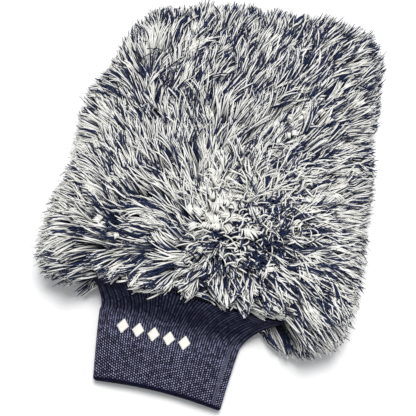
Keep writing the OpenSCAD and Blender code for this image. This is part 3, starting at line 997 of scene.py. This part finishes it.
def knit_tube(name, stations, columns, wales):
    """Closed wall of knit through stations, each (outline, place, depth, relief, millimetres along)."""
    wave = np.abs(np.sin(math.pi * np.arange(columns) * wales / columns)) ** 0.7
    gather = np.sin(2 * math.pi * np.arange(columns) * GATHERS / columns)
    rows, uv = [], []
    u = np.arange(columns + 1) * wales / columns
    for shape, where, depth, relief, along in stations:
        on, inward = even_ring(shape, where, columns)
        fold = 0.0
        if shape is throat_outline:
            fold = 0.95 * np.sin(math.pi * min(where * 1.15, 1)) * gather
        rows.append(lay_cuff(on + inward * (depth + relief * (1 - wave) + fold)[:, None]))
        uv.append(np.stack([u, np.full(columns + 1, along)], -1))
    uv.append(uv[0])
    return grid_object(name, np.array(rows), np.array(uv), True, True)


def cuff_station(y, depth, relief):
    return cuff_outline, y, depth, relief, y - HEM_Y


def throat_station(t, depth, relief):
    return throat_outline, t, depth, relief, CUFF_LEN + THROAT_LEN * t


def outer_stations():
    """Hem fold, outer face up to the mouth, and back down the inner face."""
    stations = []
    fold_y = 1.8
    fold_depth = 2.1
    inner_end = HEM_Y + 1.4
    for angle in np.radians([150, 125, 100, 75, 50, 25]):
        y = HEM_Y + fold_y * (1 - math.sin(angle))
        depth = fold_depth * (1 - math.cos(angle))
        stations.append((cuff_outline, y, depth, 0.05, -math.degrees(angle) / 60))
    for y in np.linspace(HEM_Y + fold_y, NECK_Y, 38):
        stations.append(cuff_station(y, 0.0, 0.15 + 0.5 * ease((y - HEM_Y - 2) / 3)))
    stations += [throat_station(t, 0.0, 0.75) for t in np.linspace(0.03, 1, 20)]
    stations += [throat_station(t, KNIT_T, 0.0) for t in np.linspace(1, 0.05, 8)]
    stations += [cuff_station(y, KNIT_T, 0.0) for y in np.linspace(NECK_Y, inner_end, 10)]
    stations.append((cuff_outline, inner_end, 2.6, 0.0, 0.5))
    return stations


def inner_depth(y):
    """Depth of the inner layer under the outer face: it steps in where the elastic lies."""
    return INNER_FACE + HEM_STEP * (1 - ease((y - HEM_Y - 8.6) / 2))


def make_knit():
    outer = knit_tube("cuff_knit", outer_stations(), WALES * PER_WALE, WALES)
    dress_bending(outer, KNIT, ["cuff_outer_layer", "cuff_throat"])
    start = HEM_Y + 2.2
    stations = [cuff_station(y, inner_depth(y), 0.0) for y in np.linspace(start, NECK_Y, 14)]
    for y in np.linspace(NECK_Y, start, 24):
        stations.append(cuff_station(y, inner_depth(y) + KNIT_T - 0.15, -0.3))
    inner = flip_faces(knit_tube("cuff_knit_inside", stations, WALES * 4, WALES))
    dress(inner, KNIT_INSIDE_SHADED, "cuff", ["cuff_inner_layer"])
    heights = [2.0, 4.0, 6.0, 8.0]
    ring = [(y, ELASTIC_DEPTH) for y in heights]
    ring += [(y, ELASTIC_DEPTH + ELASTIC_T) for y in reversed(heights)]
    band = [(cuff_outline, HEM_Y + y, depth, 0.08, y) for y, depth in ring]
    elastic = knit_tube("hem_elastic", band, 480, 120)
    dress(elastic, ELASTIC, "cuff", ["cuff_elastic"])


def on_knit(x, y, above):
    """Points lying on the cuff's upper face, raised by a little."""
    return lay_cuff(np.stack([x, y, CUFF_Z + cuff_top(x, y) + above], -1))


def make_side_seam():
    """Two raised wales side by side, where the knit is linked into a tube."""
    seam_in = 6
    pitch = 1.3
    y = np.linspace(HEM_Y + 2.5, NECK_Y, 150)
    paths, radii = [], []
    for offset in (-0.75, 0.75):
        x = CUFF_SHIFT + cuff_half_w(y) - seam_in + offset
        paths.append(on_knit(x, y, 0.25))
        radii.append(0.5 + 0.12 * np.sin(2 * math.pi * y / pitch))
    rungs_y = np.arange(HEM_Y + 3, NECK_Y - 0.5, pitch)
    sideways = np.broadcast_to([1.0, 0, 0], (2, len(y), 3))
    seam = tubes("cuff_side_linking", np.array(paths), np.array(radii), sideways, 6)
    dress(seam, SEAM_YARN, "cuff", ["cuff_side_seam"])
    middle = CUFF_SHIFT + cuff_half_w(rungs_y) - seam_in
    span = np.linspace(-1.1, 1.1, 5)
    x = middle[:, None] + span
    rungs = on_knit(x, rungs_y[:, None] + 0 * x, 0.45)
    sideways = np.broadcast_to([0, 1.0, 0], rungs.shape)
    ladder = tubes("cuff_side_linking_rungs", rungs, np.full(x.shape, 0.22), sideways, 5)
    dress(ladder, SEAM_YARN, "cuff", ["cuff_side_seam"])


MARKS = 5
MARK_W = 8.0
MARK_H = 9.5


def make_embroidery():
    """Row of satin-stitched lozenges: side-by-side threads arched over the knit, with a stabiliser sheet
    under the knit.
    """
    low, high = corners("embroidered_mark")
    centres = np.linspace(low[0] + MARK_W / 2, high[0] - MARK_W / 2, MARKS)
    middle_y = (low[1] + high[1]) / 2
    rows = np.linspace(-MARK_H / 2 + 0.3, MARK_H / 2 - 0.3, 24)
    share = np.linspace(-1, 1, 9)
    paths = []
    for cx in centres:
        for row in rows:
            half = MARK_W / 2 * (1 - abs(2 * row / MARK_H)) + 0.25
            x = cx + half * share
            y = middle_y + row + 0.16 * half * share + rng.normal(0, 0.03)
            arch = 0.85 * np.sqrt(1 - (share * 0.97) ** 2) * min(1, 0.35 + half / 3)
            paths.append(on_knit(x, y, arch + 0.05))
    paths = np.array(paths)
    radii = np.full(paths.shape[:2], 0.27)
    sideways = np.broadcast_to([0, 1.0, 0], paths.shape)
    mark = tubes("embroidered_lozenges", paths, radii, sideways, 6)
    dress(mark, SATIN, "cuff", ["embroidered_mark"])
    low, high = corners("embroidery_backing")
    x, y = np.meshgrid(np.linspace(low[0], high[0], 40), np.linspace(low[1], high[1], 12))
    top = on_knit(x, y, -KNIT_T - 0.12)
    under = top - [0, 0, 0.16]
    under[:, [0, -1]] = top[:, [0, -1]]
    rows = np.concatenate([top, under[::-1]])
    uv = np.concatenate([rows[..., :2], rows[:1, :, :2]])
    sheet = welded(grid_object("embroidery_stabiliser", rows, uv, True, False))
    dress(sheet, STABILISER, "cuff", ["embroidery_backing"])


# ---- Studio ----

# The camera's azimuth, elevation and roll in degrees, and its place and lens in millimetres
CAMERA_ANGLES = (13.5, 69.0, 2.2)
CAMERA_DISTANCE = 448
CAMERA_TARGET = (-1.5, -20.25, 25)
CAMERA_LENS = 53.8
CAMERA_SENSOR = 36


def make_camera():
    azimuth, elevation, roll = [math.radians(angle) for angle in CAMERA_ANGLES]
    target = Vector(CAMERA_TARGET) * MM
    back = Vector((math.sin(azimuth) * math.cos(elevation), -math.cos(azimuth) * math.cos(elevation),
                   math.sin(elevation)))
    right = (-back).cross(Vector((0, 0, 1))).normalized()
    up = right.cross(-back)
    tilted_right = math.cos(roll) * right + math.sin(roll) * up
    tilted_up = -math.sin(roll) * right + math.cos(roll) * up
    data = bpy.data.cameras.new("camera")
    data.sensor_width = CAMERA_SENSOR
    data.lens = CAMERA_LENS
    data.clip_start = 0.01
    camera = bpy.data.objects.new("camera", data)
    turn = Matrix((tilted_right, tilted_up, back)).transposed().to_4x4()
    camera.matrix_world = Matrix.Translation(target + back * CAMERA_DISTANCE * MM) @ turn
    bpy.context.scene.collection.objects.link(camera)
    bpy.context.scene.camera = camera


def area_light(name, place, target, size, watts, colour):
    data = bpy.data.lights.new(name, "AREA")
    data.shape = "DISK"
    data.size = size
    data.energy = watts
    data.color = colour
    light = bpy.data.objects.new(name, data)
    light.location = place
    light.rotation_euler = (Vector(target) - Vector(place)).to_track_quat("-Z", "Y").to_euler()
    bpy.context.scene.collection.objects.link(light)


def make_studio():
    size = 2.2
    corners_xy = [(-size, -size), (size, -size), (size, size), (-size, size)]
    points = np.array([[x / MM, y / MM, 0.0] for x, y in corners_xy])
    floor = new_object("studio_floor", points, np.arange(4), np.array([4]))
    floor.data.materials.append(floor_material())
    middle = (0, 0, 0.03)
    area_light("key_light", (0.02, 0.10, 1.0), middle, 0.36, 8.7, (1.0, 0.99, 0.98))
    area_light("fill_light", (0.55, -0.75, 0.75), middle, 0.9, 1.6, (0.95, 0.97, 1.0))
    world = bpy.data.worlds.new("studio_world")
    world.use_nodes = True
    world.node_tree.nodes["Background"].inputs["Color"].default_value = (0.94, 0.97, 1.0, 1.0)
    world.node_tree.nodes["Background"].inputs["Strength"].default_value = 0.36
    bpy.context.scene.world = world
    bpy.context.scene.view_settings.view_transform = "Standard"


# ---- Build ----

make_camera()
PILE = pile_material()
GROUND = ground_material()
LINING = woven_material("lining_cloth", rgb(0.05, 0.055, 0.08), rgb(0.11, 0.115, 0.15), 0.9)
THREAD = thread_material("seam_thread", rgb(0.012, 0.014, 0.03), rgb(0.035, 0.038, 0.07), 1400.0)
# The knit's second colour is the painted shade in the gaps between its stitches
KNIT = knit_material("cuff_rib_knit", rgb(0.42, 0.43, 0.65), rgb(0.0008, 0.001, 0.007), 3.2)
# The inner layer's knit is the cuff knit painted much darker, as painted shade inside the cuff
KNIT_INSIDE_SHADED = knit_material("cuff_rib_knit_inside_shaded", rgb(0.05, 0.052, 0.095), rgb(0.006, 0.007, 0.02), 0)
SEAM_YARN = thread_material("linking_yarn", rgb(0.012, 0.013, 0.035), rgb(0.13, 0.132, 0.21), 900.0)
ELASTIC = woven_material("hem_elastic_weave", rgb(0.5, 0.5, 0.48), rgb(0.75, 0.75, 0.72), 0.8)
SATIN = thread_material("satin_thread", rgb(0.82, 0.80, 0.72), rgb(0.98, 0.97, 0.91), 1200.0, 0.5, 0.3)
STABILISER = thread_material("stabiliser_felt", rgb(0.6, 0.6, 0.58), rgb(0.8, 0.8, 0.78), 700.0, 0.9)
make_pile()
make_inside()
make_knit()
make_side_seam()
make_embroidery()
make_studio()
